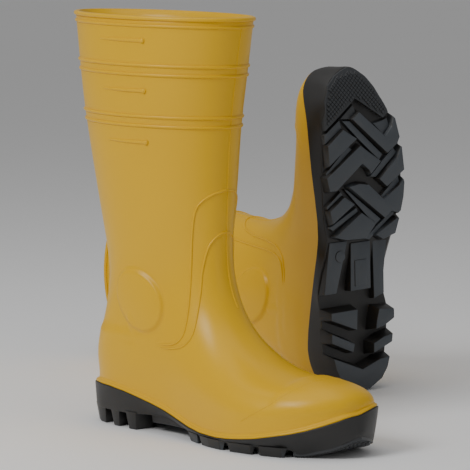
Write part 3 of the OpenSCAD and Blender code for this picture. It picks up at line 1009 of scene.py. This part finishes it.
# %% Join the sole
worn = tread.verts.layers.float.new("ground")
tread.normal_update()
for face in tread.faces:
    if face.normal.z < -0.6:
        on_toe = blend_in(face.calc_center_median().x, 235 * mm, 255 * mm)
        for v in face.verts:
            v[worn] = 1 - 0.6 * on_toe
outsole.verts.layers.float.new("ground")
add_bmesh(outsole, tread)
right_sole = piece("right_boot_sole", outsole, sole, "sole_black", "right_boot")
right_sole.data.set_sharp_from_angle(angle=math.radians(28))
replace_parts(right_sole, "right_outsole")

# %% Ground faces of the sole are greyer
attribute = sole_tree.nodes.new("ShaderNodeAttribute")
attribute.attribute_name = "ground"
dust = sole_tree.nodes.new("ShaderNodeMix")
dust.data_type = "RGBA"
dust.inputs["B"].default_value = (0.056, 0.065, 0.076, 1)
link(sole_tree, (attribute.outputs["Fac"], dust.inputs["Factor"]),
     (sole_colour.outputs["Color"], dust.inputs["A"]),
     (dust.outputs["Result"], sole_tree.nodes["Principled BSDF"].inputs["Base Color"]))

# %% [markdown]
# ## Lining and footbed
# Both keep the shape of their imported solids, smoothed. The lining is a knitted sock, so its
# material draws fine courses round the leg. It ends a little below the rim.

# %% Smooth the inner pieces
lining_top = leg_top - 9 * mm
course_height = 2.2 * mm
lining = baked(merged_copy("right_lining"), smoothed(2))
for v in lining.verts:
    v.co.z = min(v.co.z, lining_top)
raise_calf(lining)
course = lining.verts.layers.float.new("course")
for v in lining.verts:
    v[course] = v.co.z / course_height
right_lining = piece("right_boot_lining", lining, knit, "lining_knit", "right_boot")
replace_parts(right_lining, "right_lining")
footbed = baked(merged_copy("right_footbed"), smoothed(2))
right_footbed = piece("right_boot_footbed", footbed, felt, "footbed_felt", "right_footbed")
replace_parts(right_footbed, "right_footbed")

# %% Knit the lining
rows_in = knit_tree.nodes.new("ShaderNodeAttribute")
rows_in.attribute_name = "course"
turns = knit_tree.nodes.new("ShaderNodeMath")
turns.operation = "MULTIPLY"
turns.inputs[1].default_value = 2 * math.pi
wave = knit_tree.nodes.new("ShaderNodeMath")
wave.operation = "SINE"
both = knit_tree.nodes.new("ShaderNodeMath")
both.operation = "ADD"
relief = next(n for n in knit_tree.nodes if n.type == "BUMP")
relief.inputs["Strength"].default_value = 0.7
link(knit_tree, (rows_in.outputs["Fac"], turns.inputs[0]), (turns.outputs[0], wave.inputs[0]),
     (wave.outputs[0], both.inputs[0]), (knit_grain.outputs["Height"], both.inputs[1]),
     (both.outputs[0], relief.inputs["Height"]))
print("lining knitted in", round(lining_top / course_height), "courses")

# %% [markdown]
# ## The left boot
# Its mould is the mirror image. A copy of each finished mesh is mirrored, turned a little about the
# upright through its heel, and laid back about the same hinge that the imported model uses.

# %% Mirror and lay down
stand = next(j for j in frame["joints"] if j["name"] == "left_boot_stand")
left_turn = math.radians(-9.5)
lay_down = (
    Matrix.Translation(stand["pos_m"])
    @ Matrix.Rotation(-math.radians(stand["range_deg"][1]), 4, Vector(stand["axis"]))
    @ Matrix.Rotation(left_turn, 4, "Z")
    @ Matrix.Scale(-1, 4, (0, 1, 0))
    @ Matrix.Translation((-heel_back, 0, 0)))


def left_copy(right, body):
    """The left boot's own copy of a finished right piece."""
    mesh = right.data.copy()
    mesh.transform(lay_down)
    mesh.flip_normals()
    mesh.name = right.name.replace("right", "left")
    obj = bpy.data.objects.new(mesh.name, mesh)
    scene.collection.objects.link(obj)
    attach(obj, body)
    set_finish(obj, right["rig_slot"])
    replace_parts(obj, *[n.replace("right", "left") for n in right["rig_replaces"]])
    return obj


for finished in (right_upper, right_sole, right_lining):
    left_copy(finished, "left_boot")
left_footbed = left_copy(right_footbed, "left_footbed")

# %% [markdown]
# ## Pieces that stay as they were packed
# The steel cap, its edge strip, the plates, the ankle foam and the heel filler are inside the boot.
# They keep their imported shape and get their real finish.

# %% Finishes of the inner pieces
inner = {"toe_cap": steel, "toe_cap_edge": edge_rubber, "sole_plate": steel, "insole_board": fibre,
         "ankle_pad_inner": foam, "ankle_pad_outer": foam, "heel_core": filler}
for side_name in ("right", "left"):
    for part, material in inner.items():
        node = frame["nodes"][f"{side_name}_{part}"]
        node.data.materials.clear()
        node.data.materials.append(material)

# %% Print the CAD box
print("CAD box", [tuple(round(v / mm, 1) for v in c) for c in cad_box])
